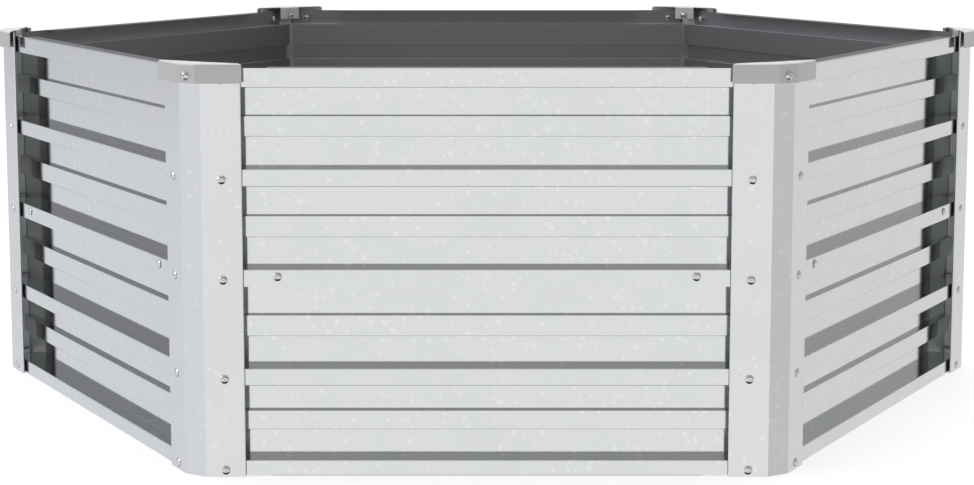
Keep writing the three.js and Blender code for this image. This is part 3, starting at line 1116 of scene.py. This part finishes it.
@dataclass
class CornerCaps(SubAssembly):
    """The six caps: a top plate, a skirt in three facets and a tab folded down inside."""

    posts: CornerPosts
    sheet: float = 1.0
    proud: float = 6.0
    chamfer: float = 25.6
    overhang: float = 1.9
    skirt: float = 21.8
    edge_radius: float = 2.6
    bend_radius: float = 3.2
    tab_width: float = 32.0
    tab_height: float = 18.7
    tab_radius: float = 1.8
    round_steps: int = 6
    rim_bevel: float = 0.2
    rim_steps: int = 2
    rim_angle: float = 60.0  # edges that turn more than this many degrees are bevelled

    @property
    def reach(self) -> float:
        """From the hexagon's corner to the skirt's free end, along a side."""
        return self.posts.free_edge + self.overhang

    @property
    def bend_place(self) -> float:
        """From the hexagon's corner to the bend of the skirt, along a side."""
        return (self.chamfer - self.proud) * CORNER_RUN

    @property
    def inner_y(self) -> float:
        """The line that the plate's inner edge and the skirt's ends lie on."""
        return self.plan.corner_point(self.reach, -self.proud, Hand.RIGHT)[1]

    def make(self) -> None:
        """Makes the six caps."""
        for index, corner in enumerate(CORNERS):
            cap = self._cap(f"folded_cap_{corner}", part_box(f"corner_cap_{corner}")[1].z / MM)
            cap.data.materials.append(self.steel)
            # Painted light: the upward faces get a lighter colour for the light from above.
            mark_painted_light_and_shade(cap, UPWARDS)
            turned_about_bed(cap.data, index + HALF_STEP)
            self.hand_over(cap, [f"corner_cap_{corner}"])

    def _row(self, inset: float, height: float) -> list[Place]:
        """One level line round the skirt, from its left end to its right end.

        Args:
            inset: How far inside the skirt's outer face.
            height: The line's height.

        Returns:
            The line's points.
        """
        depth = inset - self.proud
        bend = self.plan.corner_point(self.bend_place + inset * BEND_RUN, depth, Hand.RIGHT)
        end = self.plan.corner_point(self.reach, depth, Hand.RIGHT)
        end_x = end[0] + (self.inner_y - end[1]) * math.tan(TURN)
        corners = [(-end_x, self.inner_y), (-bend[0], bend[1]), bend, (end_x, self.inner_y)]
        line = rounded(corners, self.bend_radius - inset, self.round_steps)
        return [(x, y, height) for x, y in line]

    def _cap(self, name: str, top: float) -> bpy.types.Object:
        """Folds one cap at the corner that points to -Y.

        Args:
            name: The cap's name.
            top: The height of its top plate.

        Returns:
            The cap.
        """
        rows = [self._row(0.0, top - self.skirt)]
        for step in range(self.round_steps + 1):
            angle = QUARTER * step / self.round_steps
            inset = self.edge_radius * (1 - math.cos(angle))
            rows.append(self._row(inset, top - self.edge_radius * (1 - math.sin(angle))))
        points = [point for row in rows for point in row]
        count = len(rows[0])
        faces = [
            (row * count + i, row * count + i + 1, (row + 1) * count + i + 1, (row + 1) * count + i)
            for row in range(len(rows) - 1)
            for i in range(count - 1)
        ]
        edge = self.tab_width / 2
        first = len(points)
        tab = self._tab_line(top)
        points.extend([(edge, self.inner_y, top), (-edge, self.inner_y, top)])
        points.extend((x, y, z) for y, z in tab for x in (edge, -edge))
        plate = range(first - count, first)
        faces.append((*plate, first, first + 2, first + 3, first + 1))
        for step in range(len(tab) - 1):
            low = first + 2 + 2 * step
            faces.append((low, low + 2, low + 3, low + 1))
        shell = new_object(name, points, faces=faces)
        return self._finished(name, shell)

    def _tab_line(self, top: float) -> list[Point]:
        """Draws the tab's section from the plate over the bend to its lower edge.

        Args:
            top: The height of the plate.

        Returns:
            The section's points, as Y and height.
        """
        radius = self.tab_radius
        line = []
        for step in range(self.round_steps + 1):
            angle = QUARTER * step / self.round_steps
            y = self.inner_y - radius * (1 - math.sin(angle))
            line.append((y, top - radius * (1 - math.cos(angle))))
        return [*line, (self.inner_y, top - self.tab_height)]

    def _finished(self, name: str, shell: bpy.types.Object) -> bpy.types.Object:
        """Gives the cap's outer surface its thickness and breaks its cut edges.

        Args:
            name: The cap's name.
            shell: The outer surface.

        Returns:
            The closed cap.
        """
        work = bmesh.new()
        work.from_mesh(shell.data)
        bmesh.ops.remove_doubles(work, verts=work.verts, dist=MERGE_WITHIN * MM)
        bmesh.ops.recalc_face_normals(work, faces=work.faces)
        plate = max(work.faces, key=lambda face: face.calc_area() * abs(face.normal.z))
        if plate.normal.z < 0:
            bmesh.ops.reverse_faces(work, faces=work.faces)
        work.to_mesh(shell.data)
        work.free()
        wall = shell.modifiers.new("wall", "SOLIDIFY")
        wall.thickness = self.sheet * MM
        wall.offset = -1.0  # all of it inside the outer surface
        wall.use_even_offset = True
        rim = shell.modifiers.new("rim", "BEVEL")
        rim.width = self.rim_bevel * MM
        rim.segments = self.rim_steps
        rim.limit_method = "ANGLE"
        rim.angle_limit = math.radians(self.rim_angle)
        cap = plain_copy(name, shell)
        clean_shell(cap, smooth_under=self.sheet)
        return cap


@dataclass
class Fasteners(SubAssembly):
    """Pan-head screws with a cross recess and hexagon nuts, all of one thread."""

    setter: FastenerTool
    posts: CornerPosts
    panels: RibbedPanels
    head_diameter: float = 10.2
    head_height: float = 3.1  # that the CAD model leaves for a head
    # The slopes are in degrees, each at a share of the head's radius.
    head_slopes: tuple[Point, ...] = ((0.0, 0.0), (0.42, 4.0), (0.55, 31.0), (1.0, 37.0))
    head_steps: int = 14
    head_rim: float = 0.3
    head_edge: float = 0.2
    shank: float = 5.0
    pitch: float = 0.8
    thread_depth: float = 0.4
    cross_width: float = 2.5
    cross_slot: float = 1.1
    cross_depth: float = 1.2
    cross_floor: tuple[float, float] = (0.45, 0.7)  # at the floor, as shares of width and slot
    cross_mouth: tuple[float, float] = (1.25, 1.15)  # the same above the mouth
    nut_width: float = 8.0
    nut_height: float = 4.0
    nut_slack: float = 0.05  # between the nut's bore and the shank
    nut_chamfer: float = 0.6  # height of the chamfer, as a share of how far a corner stands out
    nut_face: float = 0.97  # radius of the level faces, as a share of half the nut's width
    nut_barrel: float = 1.01  # radius between the chamfers, as a share of a corner's
    nut_narrow: float = 1.25  # faces of a nut with a side under this are parts of a round
    past_nut: float = 1.2
    bolt_drop: float = 1.3
    sides: int = 28
    pieces: int = 0  # made so far, which gives each its own seed

    def make(self) -> None:
        """Makes the bolts and nuts of the posts, of the seams and of the caps."""
        nut = self._nut()
        self._post_fasteners(nut)
        self._seam_fasteners(nut)
        self._cap_fasteners(nut)
        bpy.data.objects.remove(nut)

    def _head_line(self) -> list[Point]:
        """Draws the head's outline from under its rim, up the flank and over the crown.

        Returns:
            The outline's points, as radius and height, up to the one on the axis.
        """
        radius, height = self.head_diameter / 2, self.head_rim
        line = [(radius - self.head_edge, 0.0), (radius, self.head_edge), (radius, height)]
        step = radius / self.head_steps
        for left in reversed(range(self.head_steps)):
            slope = self._slope_at((left + HALF_STEP) / self.head_steps)
            height += step * math.tan(math.radians(slope))
            line.append((step * left, height))
        return line

    def _slope_at(self, share: float) -> float:
        """Finds the head's slope at a share of its radius.

        Args:
            share: The share.

        Returns:
            The slope in degrees.
        """
        for (near, low), (far, high) in zip(self.head_slopes, self.head_slopes[1:]):
            if share <= far:
                return low + (high - low) * (share - near) / (far - near)
        return self.head_slopes[-1][1]

    def _screw(self, name: str, reach: float) -> bpy.types.Object:
        """A screw along +Z, with its head's underside at height 0.

        Args:
            name: The object's name.
            reach: How far its shank goes below the head.

        Returns:
            The screw.
        """
        crest = self.shank / 2
        root = crest - self.thread_depth
        line: list[Point] = [(0.0, -reach), (root - self.thread_depth, -reach)]
        height = -reach + self.pitch / 2
        while height + self.pitch < -self.pitch:
            line.append((root, height))
            line.append((crest, height + self.pitch / 2))
            height += self.pitch
        line.extend([(crest, height), (crest, 0.0), *self._head_line()])
        blank = lathe(name, line, self.sides)
        slots = [self._slot_cutter(f"{name}_slot_{index}", index) for index in (0, 1)]
        screw = cut_with(blank, slots, "DIFFERENCE")
        clean_shell(screw, smooth_under=self.head_diameter)
        return screw

    def _slot_cutter(self, name: str, quarter: int) -> bpy.types.Object:
        """A tapered block that cuts one slot of the cross recess.

        Args:
            name: The block's name.
            quarter: 0 or 1, the slot's quarter turn.

        Returns:
            The block.
        """
        top = self._head_line()[-1][1]
        floor, mouth = top - self.cross_depth, top + CUT_PAST
        points = []
        for height, long_share, wide_share in (
            (floor, *self.cross_floor),
            (mouth, *self.cross_mouth),
        ):
            x = self.cross_width / 2 * long_share
            y = self.cross_slot / 2 * wide_share
            points.extend([(-x, -y, height), (x, -y, height), (x, y, height), (-x, y, height)])
        faces = [(3, 2, 1, 0), (4, 5, 6, 7)]
        faces.extend((i, (i + 1) % 4, 4 + (i + 1) % 4, 4 + i) for i in range(4))
        block = new_object(name, points, faces=faces)
        block.data.transform(Matrix.Rotation(quarter * QUARTER, 4, "Z"))
        return block

    def _nut(self) -> bpy.types.Object:
        """Makes a nut with chamfered corners, from height 0 down.

        Returns:
            The nut.
        """
        flat = self.nut_width / 2
        corner = flat / math.cos(TURN / 2)
        low = -self.nut_height
        chamfer = (corner - flat) * self.nut_chamfer
        hexagon = lathe("nut", [(0.0, low), (corner, low), (corner, 0.0), (0.0, 0.0)], 6)
        face, widest = flat * self.nut_face, corner * self.nut_barrel
        barrel = [
            (0.0, low),
            (face, low),
            (widest, low + chamfer),
            (widest, -chamfer),
            (face, 0.0),
            (0.0, 0.0),
        ]
        rounder = lathe("nut_rounder", barrel, self.sides)
        nut = cut_with(hexagon, [rounder], "INTERSECT")
        bore = self.shank / 2 + self.nut_slack
        end = bore + self.thread_depth
        tapered = [
            (0.0, low - CUT_PAST),
            (end + CUT_PAST, low - CUT_PAST),
            (end, low),
            (bore, low + self.thread_depth),
            (bore, -self.thread_depth),
            (end, 0.0),
            (end + CUT_PAST, CUT_PAST),
            (0.0, CUT_PAST),
        ]
        drilled = cut_with(nut, [lathe("nut_bore", tapered, self.sides)], "DIFFERENCE")
        clean_shell(drilled, smooth_under=self.nut_narrow)
        return drilled

    def _set(
        self,
        name: str,
        shape: bpy.types.Object,
        places: Sequence[tuple[Place, Way]],
        steps: float,
        nodes: Sequence[str],
    ) -> None:
        """Sets copies of a fastener and hands the piece over.

        Args:
            name: The piece's name.
            shape: The fastener along +Z.
            places: For each copy its place in millimetres and the way that its head faces.
            steps: How many sixths of a turn the places are turned about the bed's middle.
            nodes: The CAD nodes that the piece stands for.
        """
        marks = new_object(name + "_places", [place for place, _ in places])
        facing = marks.data.attributes.new(FACING, "FLOAT_VECTOR", "POINT")
        facing.data.foreach_set("vector", [value for _, way in places for value in way])
        self.pieces += 1
        piece = self.setter.run(
            name,
            marks,
            Fastener=shape,
            Most_twist=QUARTER,
            Seed=self.pieces,
            Material=self.steel,
        )
        clean_shell(piece, smooth_under=self.head_diameter)
        turned_about_bed(piece.data, steps)
        self.hand_over(piece, nodes)

    def _bolt_heights(self) -> list[float]:
        """Finds the heights of the post bolts, one at each rib.

        Returns:
            The heights, from the ground up.
        """
        panels = self.panels
        heights = []
        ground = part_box("lower_panel_front")[0].z / MM
        for level, tall in (*panels.lower_bands, *panels.upper_bands[1:]):
            if level is Level.RIB:
                heights.append(ground + tall / 2 - self.bolt_drop)
            ground += tall
        return heights

    def _post_fasteners(self, nut: bpy.types.Object) -> None:
        """Sets the ten bolts and nuts of every post.

        Args:
            nut: The nut that is copied.
        """
        panels, plan = self.panels, self.plan
        grip = plan.rib_depth + panels.sheet + panels.clearance
        lap = panels.sheet + panels.clearance
        bolt = self._screw("post_bolt", grip + lap + self.nut_height + self.past_nut)
        heights = self._bolt_heights()
        seam = heights[len(heights) // 2]
        heads, nuts = [], []
        for hand in Hand:
            facing = plan.flange_facing(hand)
            for height in heights:
                depth = grip + (lap if height == seam else 0.0)
                for made, sunk in ((heads, 0.0), (nuts, depth)):
                    x, y = plan.corner_point(self.posts.bolt_run, sunk, hand)
                    made.append(((x, y, height), facing))
        for index, corner in enumerate(CORNERS):
            self._set(f"post_bolts_{corner}", bolt, heads, index + HALF_STEP, [])
            self._set(f"post_nuts_{corner}", nut, nuts, index + HALF_STEP, [])
        bpy.data.objects.remove(bolt)

    def _seam_fasteners(self, nut: bpy.types.Object) -> None:
        """Sets the two bolts and nuts of every seam, where the CAD model has them.

        Args:
            nut: The nut that is copied.
        """
        panels = self.panels
        lap = panels.sheet + panels.clearance
        bolt = self._screw("seam_bolt", 2 * lap + self.nut_height + self.past_nut)
        heads, nuts = [], []
        for hand in ("left", "right"):
            for made, node, back in ((heads, "bolt", -self.head_height), (nuts, "nut", 0.0)):
                low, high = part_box(f"{hand}_seam_{node}_front")
                middle = (low + high) / 2 / MM
                made.append(((middle.x, low.y / MM - back, middle.z), OUTWARDS))
        for steps, side in enumerate(SIDES):
            for plural, node, shape, places in (
                ("bolts", "bolt", bolt, heads),
                ("nuts", "nut", nut, nuts),
            ):
                nodes = [f"{hand}_seam_{node}_{side}" for hand in ("left", "right")]
                self._set(f"seam_{plural}_{side}", shape, places, steps, nodes)
        bpy.data.objects.remove(bolt)

    def _cap_fasteners(self, nut: bpy.types.Object) -> None:
        """Sets the long screw and the nut of every cap, where the CAD model has them.

        Args:
            nut: The nut that is copied.
        """
        for index, corner in enumerate(CORNERS):
            steps = index + HALF_STEP
            turn_back = Matrix.Rotation(-steps * TURN, 3, "Z")
            ends = {}
            for node in (f"cap_screw_{corner}", f"cap_nut_{corner}"):
                points = [turn_back @ v.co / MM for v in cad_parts[node].data.vertices]
                heights = [point.z for point in points]
                ends[node] = (
                    min(point.y for point in points),
                    max(point.y for point in points),
                    (min(heights) + max(heights)) / 2,
                )
            out, inner, height = ends[f"cap_screw_{corner}"]
            screw = self._screw("cap_screw", inner - out - self.head_height)
            seat = (0.0, out + self.head_height, height)
            name = f"cap_long_screw_{corner}"
            self._set(name, screw, [(seat, OUTWARDS)], steps, [f"cap_screw_{corner}"])
            seat = (0.0, ends[f"cap_nut_{corner}"][0], height)
            name = f"cap_hexagon_nut_{corner}"
            self._set(name, nut, [(seat, OUTWARDS)], steps, [f"cap_nut_{corner}"])
            bpy.data.objects.remove(screw)


# ---- Studio --------------------------------------------------------------------------------------


class Gauge(Enum):
    """What a direction in the studio is measured by."""

    TURN = "angle round the bed in radians, 0 in front of it and more to the right"
    SWING = "the same to either side"
    RISE = "height above the horizon, from -1 to 1"


@dataclass(frozen=True)
class StudioPart:
    """A soft-edged part of the studio, with a brightness of its own; plain white is 1."""

    title: str
    tone: float
    edges: tuple[tuple[Gauge, float, float], ...]  # gauge, where the part starts, where it is whole

    def mask(self, gauges: Mapping[Gauge, Wire]) -> Wire:
        """Marks the directions that lie in the part."""
        masks = [gauges[gauge].between(start, whole) for gauge, start, whole in self.edges]
        return math.prod(masks[1:], start=masks[0])


OVER_HORIZON = (Gauge.RISE, -0.01, 0.03)

# Each part covers those before it. Where the list says nothing, the studio is plain white.
STUDIO_PARTS = (
    StudioPart("left", 0.92, ((Gauge.TURN, -0.4, -1.0),)),
    StudioPart("back left", 0.843, ((Gauge.TURN, -1.9, -2.2),)),
    StudioPart("far left", 0.697, ((Gauge.TURN, -1.9, -2.2), (Gauge.RISE, -0.14, -0.05))),
    StudioPart("right", 0.71, ((Gauge.TURN, 0.5, 0.9),)),
    StudioPart("back right", 0.83, ((Gauge.TURN, 1.4, 1.9),)),
    StudioPart("ground close by", 0.33, ((Gauge.RISE, -0.57, -0.74),)),
    StudioPart("ground under the bed", 0.04, ((Gauge.RISE, -0.78, -0.9),)),
    StudioPart("wall above", 0.41, (OVER_HORIZON,)),
    StudioPart("left wall", 0.75, ((Gauge.TURN, -0.5, -0.9), OVER_HORIZON)),
    StudioPart("right wall", 0.46, ((Gauge.TURN, 0.5, 0.9), OVER_HORIZON)),
    StudioPart("back left wall", 0.31, ((Gauge.TURN, -1.6, -2.0), OVER_HORIZON)),
    StudioPart("back wall", 0.22, ((Gauge.SWING, 2.6, 2.9), OVER_HORIZON)),
    StudioPart("back wall, higher up", 1.0, ((Gauge.SWING, 2.4, 2.7), (Gauge.RISE, 0.13, 0.2))),
    StudioPart("left light", 1.35, ((Gauge.TURN, -1.5, -2.0), (Gauge.RISE, 0.28, 0.42))),
    StudioPart("back light", 1.45, ((Gauge.SWING, 2.1, 2.6), (Gauge.RISE, 0.33, 0.5))),
    StudioPart("ceiling", 1.4, ((Gauge.RISE, 0.8, 0.95),)),
)


@dataclass
class Studio:
    """Pale floor, white background, soft light from above and the photograph's camera."""

    frame_width: int = 974
    focal_pixels: float = 2148.2  # focal length, in pixels of the photograph
    shift_pixels: float = -70.0
    camera_distance: float = 2318.0  # in front of the front flanges
    camera_height: float = 646.3
    camera_tilt: float = 7.52  # degrees below the horizon
    camera_reach: float = 100000.0  # nothing further away is seen
    floor_reach: float = 40000.0
    floor_drop: float = 0.3
    floor_colour: Colour = (0.9, 0.9, 0.9)
    floor_glow: float = 1.15  # lifts the open floor to white
    floor_shade_share: float = 0.4  # how much of the floor's colour is its real shading
    inside_reach: float = 560.0  # the floor inside the bed, which metal mirrors
    # painted shade: the glow that mirrored rays see on the floor inside the bed, in place of its
    # shadow
    painted_inside_shade: float = 0.5
    parts: tuple[StudioPart, ...] = STUDIO_PARTS
    left_tint: Colour = (0.975, 0.985, 1.03)
    left_tint_edge: tuple[float, float] = (-0.35, -1.0)  # by the angle round the bed
    lamp_size: float = 3200.0
    lamp_height: float = 3600.0
    lamp_power: float = 60.0
    key_place: Place = (-3400.0, -1100.0, 1700.0)
    key_size: float = 1800.0
    key_power: float = 15.0

    def make(self, plan: Plan) -> None:
        """Makes the camera, the floor, the world and the lamps.

        Args:
            plan: The bed's plan, which the camera's distance is measured from.
        """
        self._camera(plan)
        self._floor()
        self._world()
        self._lamps()
        bpy.context.scene.view_settings.view_transform = "Standard"

    def _camera(self, plan: Plan) -> None:
        """Puts the camera about where the photograph was taken from.

        Args:
            plan: The bed's plan.
        """
        data = bpy.data.cameras.new("camera")
        data.sensor_fit = "HORIZONTAL"
        data.lens = self.focal_pixels / self.frame_width * data.sensor_width
        data.shift_y = self.shift_pixels / self.frame_width
        data.clip_end = self.camera_reach * MM
        camera = bpy.data.objects.new("camera", data)
        bpy.context.scene.collection.objects.link(camera)
        away = plan.apothem + self.camera_distance
        camera.location = (0.0, -away * MM, self.camera_height * MM)
        camera.rotation_euler = (math.radians(90 - self.camera_tilt), 0.0, 0.0)
        bpy.context.scene.camera = camera

    def _floor(self) -> None:
        """Lays the floor, white to the camera but for the bed's soft shadow."""
        reach = self.floor_reach
        corners = [(-reach, -reach), (reach, -reach), (reach, reach), (-reach, reach)]
        points = [(x, y, -self.floor_drop) for x, y in corners]
        floor = new_object("floor", points, faces=[(0, 1, 2, 3)])
        floor.data.materials.append(self._floor_material())

    def _floor_material(self) -> bpy.types.Material:
        """Makes a pale matt floor, white where nothing shades it.

        Beyond the bed it is clear to mirrored rays, so that bright metal mirrors the world instead.
        Inside the bed it shows them a flat, dimmer glow, painted shade for the bed's shadow on the
        floor.

        Returns:
            The material.
        """
        made = bpy.data.materials.new("pale floor")
        made.use_nodes = True
        made.node_tree.nodes.clear()
        graph = Graph(made.node_tree)
        ray = graph.add("ShaderNodeLightPath", output="Is Glossy Ray")
        # Mirrored rays see a flat, dimmer glow inside the bed: painted shade in place of the
        # floor's shadow there.
        level = self.floor_glow + ray * (self.painted_inside_shade - self.floor_glow)
        white = {"Color": opaque(WHITE), "Strength": level}
        glow = graph.add("ShaderNodeEmission", inputs=white)
        matt = graph.add("ShaderNodeBsdfDiffuse", inputs={"Color": opaque(self.floor_colour)})
        share = (1.0 - ray) * self.floor_shade_share
        ground = graph.add("ShaderNodeMixShader", inputs={0: share, 1: glow, 2: matt})
        place = graph.add("ShaderNodeTexCoord", output="Object")
        outside = graph.vector("LENGTH", place).out("Value").above(self.inside_reach * MM)
        open_to = outside * graph.math("MAXIMUM", ray, ray.out("Is Shadow Ray"))
        clear = graph.add("ShaderNodeBsdfTransparent")
        shader = graph.add("ShaderNodeMixShader", inputs={0: open_to, 1: ground, 2: clear})
        graph.add("ShaderNodeOutputMaterial", inputs={"Surface": shader})
        return made

    def _world(self) -> None:
        """Makes a white background, and the tones of a studio for everything else."""
        world = bpy.data.worlds.new("studio")
        world.use_nodes = True
        world.node_tree.nodes.clear()
        graph = Graph(world.node_tree)
        seen = graph.add("ShaderNodeLightPath", output="Is Camera Ray")
        gauges = self._gauges(graph)
        tone: Value = 1.0
        for part in self.parts:
            mask = part.mask(gauges)
            tone = tone * (1.0 - mask) + mask * part.tone
        level = seen + (1.0 - seen) * tone
        cool = gauges[Gauge.TURN].between(*self.left_tint_edge) * (1.0 - seen)
        colour = graph.blend(opaque(WHITE), opaque(self.left_tint), cool)
        shader = graph.add("ShaderNodeBackground", inputs={"Color": colour, "Strength": level})
        graph.add("ShaderNodeOutputWorld", inputs={"Surface": shader})
        bpy.context.scene.world = world

    def _gauges(self, graph: Graph) -> dict[Gauge, Wire]:
        """Measures each direction of the world.

        Args:
            graph: The world's node tree.

        Returns:
            The wire of each gauge.
        """
        way = graph.add("ShaderNodeTexCoord", output="Generated")
        across = graph.add("ShaderNodeSeparateXYZ", inputs={"Vector": way}, output="X")
        turn = graph.math("ARCTAN2", across, across.out("Y") * -1.0)
        return {
            Gauge.TURN: turn,
            Gauge.SWING: graph.math("ABSOLUTE", turn),
            Gauge.RISE: across.out("Z"),
        }

    def _lamps(self) -> None:
        """Hangs a large soft lamp above the bed and a smaller one high on the left."""
        above = self._lamp("softbox_above", (0.0, 0.0, self.lamp_height), self.lamp_size)
        above.data.energy = self.lamp_power
        above.visible_glossy = False  # the folds would mirror it as hard white lines
        key = self._lamp("softbox_left", self.key_place, self.key_size)
        key.data.energy = self.key_power

    def _lamp(self, name: str, place: Place, size: float) -> bpy.types.Object:
        """Makes a round lamp that faces the bed.

        Args:
            name: The lamp's name.
            place: Where it is, in millimetres.
            size: Its diameter.

        Returns:
            The lamp.
        """
        data = bpy.data.lights.new(name, "AREA")
        data.shape = "DISK"
        data.size = size * MM
        lamp = bpy.data.objects.new(name, data)
        lamp.location = Vector(place) * MM
        lamp.rotation_euler = (-lamp.location).to_track_quat("-Z", "Y").to_euler()
        bpy.context.scene.collection.objects.link(lamp)
        return lamp


# ---- The whole bed -------------------------------------------------------------------------------


def zinc_finishes() -> dict[Slot, bpy.types.Material]:
    """Builds the four finishes of the bed.

    Returns:
        The material of each slot.
    """
    finishes = {
        Slot.PANEL: ZincFinish(
            "bright zinc sheet",
            light=(0.703, 0.713, 0.732),
            dark=(0.692, 0.712, 0.706),
            fleck=(0.79, 0.795, 0.8),
            roughness=0.08,
        ),
        Slot.POST: ZincFinish(
            "bright zinc post",
            light=(0.705, 0.714, 0.732),
            dark=(0.690, 0.706, 0.702),
            fleck=(0.78, 0.785, 0.79),
            roughness=0.09,
            fleck_share=0.4,
            # painted shade: darker faces that look into the bed
            painted_light_and_shade_colour=(0.42, 0.43, 0.42),
        ),
        Slot.CAP: ZincFinish(
            "satin zinc cap",
            light=(0.487, 0.495, 0.487),
            dark=(0.47, 0.478, 0.47),
            fleck=(0.515, 0.52, 0.515),
            roughness=0.45,
            metallic=0.35,
            fleck_share=0.15,
            # painted light: lighter upward faces, for the light from above
            painted_light_and_shade_colour=(0.55, 0.557, 0.55),
        ),
        Slot.SCREW: ZincFinish(
            "plated screw",
            light=(0.72, 0.72, 0.73),
            dark=(0.66, 0.66, 0.67),
            fleck=(0.72, 0.72, 0.73),
            roughness=0.09,
            fleck_share=0.05,
            ripple=0.003,
            ripple_size=2.0,
        ),
    }
    return {slot: finish.material() for slot, finish in finishes.items()}


def main() -> None:
    """Builds the studio and every sub-assembly in order."""
    logging.basicConfig(level=logging.INFO, format="%(message)s", stream=sys.stdout)
    plan = Plan()
    Studio().make(plan)
    steels = zinc_finishes()
    folder = FoldedSheetTool()
    panels = RibbedPanels(plan, steels[Slot.PANEL], Slot.PANEL, folder, sheet=0.7)
    posts = CornerPosts(plan, steels[Slot.POST], Slot.POST, folder, sheet=1.0)
    caps = CornerCaps(plan, steels[Slot.CAP], Slot.CAP, posts)
    fasteners = Fasteners(plan, steels[Slot.SCREW], Slot.SCREW, FastenerTool(), posts, panels)
    for assembly in (panels, posts, caps, fasteners):
        assembly.make()


if __name__ == "__main__":
    main()
